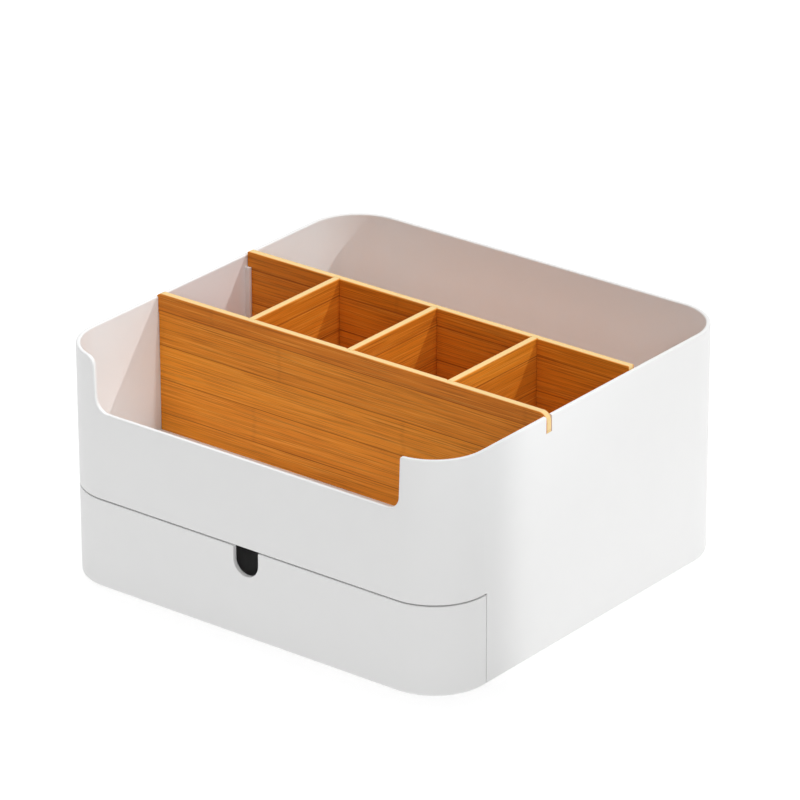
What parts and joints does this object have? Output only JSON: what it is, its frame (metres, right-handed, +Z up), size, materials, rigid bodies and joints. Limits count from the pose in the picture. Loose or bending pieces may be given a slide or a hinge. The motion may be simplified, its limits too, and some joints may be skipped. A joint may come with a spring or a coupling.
{
  "type": "desk organizer with drawer",
  "caption": "Rounded white desk organizer: open compartments parted by lift-out bamboo boards above a pull-out drawer with a wrap-round front.",
  "frame": {"origin": "on the table, under the middle of the housing", "axes": "+X to the right along the front, +Y from the front to the back, +Z up; the drawer opens towards -Y"},
  "size_m": [0.264, 0.252, 0.1362],
  "materials": {
    "white_plastic": "satin moulded plastic",
    "bamboo": "laminated bamboo, oiled",
    "foot_rubber": "matte",
    "screw_steel": "zinc plated"
  },
  "bodies": {
    "casing": {"housing": "white_plastic", "base_plate": "white_plastic", "base_screws": "screw_steel", "foot_front_left": "foot_rubber", "foot_front_right": "foot_rubber", "foot_rear_left": "foot_rubber", "foot_rear_right": "foot_rubber"},
    "drawer_body": {"drawer": "white_plastic"},
    "plank_front_body": {"plank_front": "bamboo"},
    "plank_rear_body": {"plank_rear": "bamboo"},
    "divider_left_body": {"divider_left": "bamboo"},
    "divider_middle_body": {"divider_middle": "bamboo"},
    "divider_right_body": {"divider_right": "bamboo"}
  },
  "joints": [
    {"name": "drawer_slide", "type": "slide", "parent": "casing", "child": "drawer_body", "axis": [0, -1, 0], "range_m": [0, 0.15]},
    {"name": "plank_front_lift", "type": "slide", "parent": "casing", "child": "plank_front_body", "axis": [0, 0, 1], "range_m": [0, 0.1]},
    {"name": "plank_rear_lift", "type": "slide", "parent": "casing", "child": "plank_rear_body", "axis": [0, 0, 1], "range_m": [0, 0.1]},
    {"name": "divider_left_lift", "type": "slide", "parent": "casing", "child": "divider_left_body", "axis": [0, 0, 1], "range_m": [0, 0.1]},
    {"name": "divider_middle_lift", "type": "slide", "parent": "casing", "child": "divider_middle_body", "axis": [0, 0, 1], "range_m": [0, 0.1]},
    {"name": "divider_right_lift", "type": "slide", "parent": "casing", "child": "divider_right_body", "axis": [0, 0, 1], "range_m": [0, 0.1]}
  ]
}
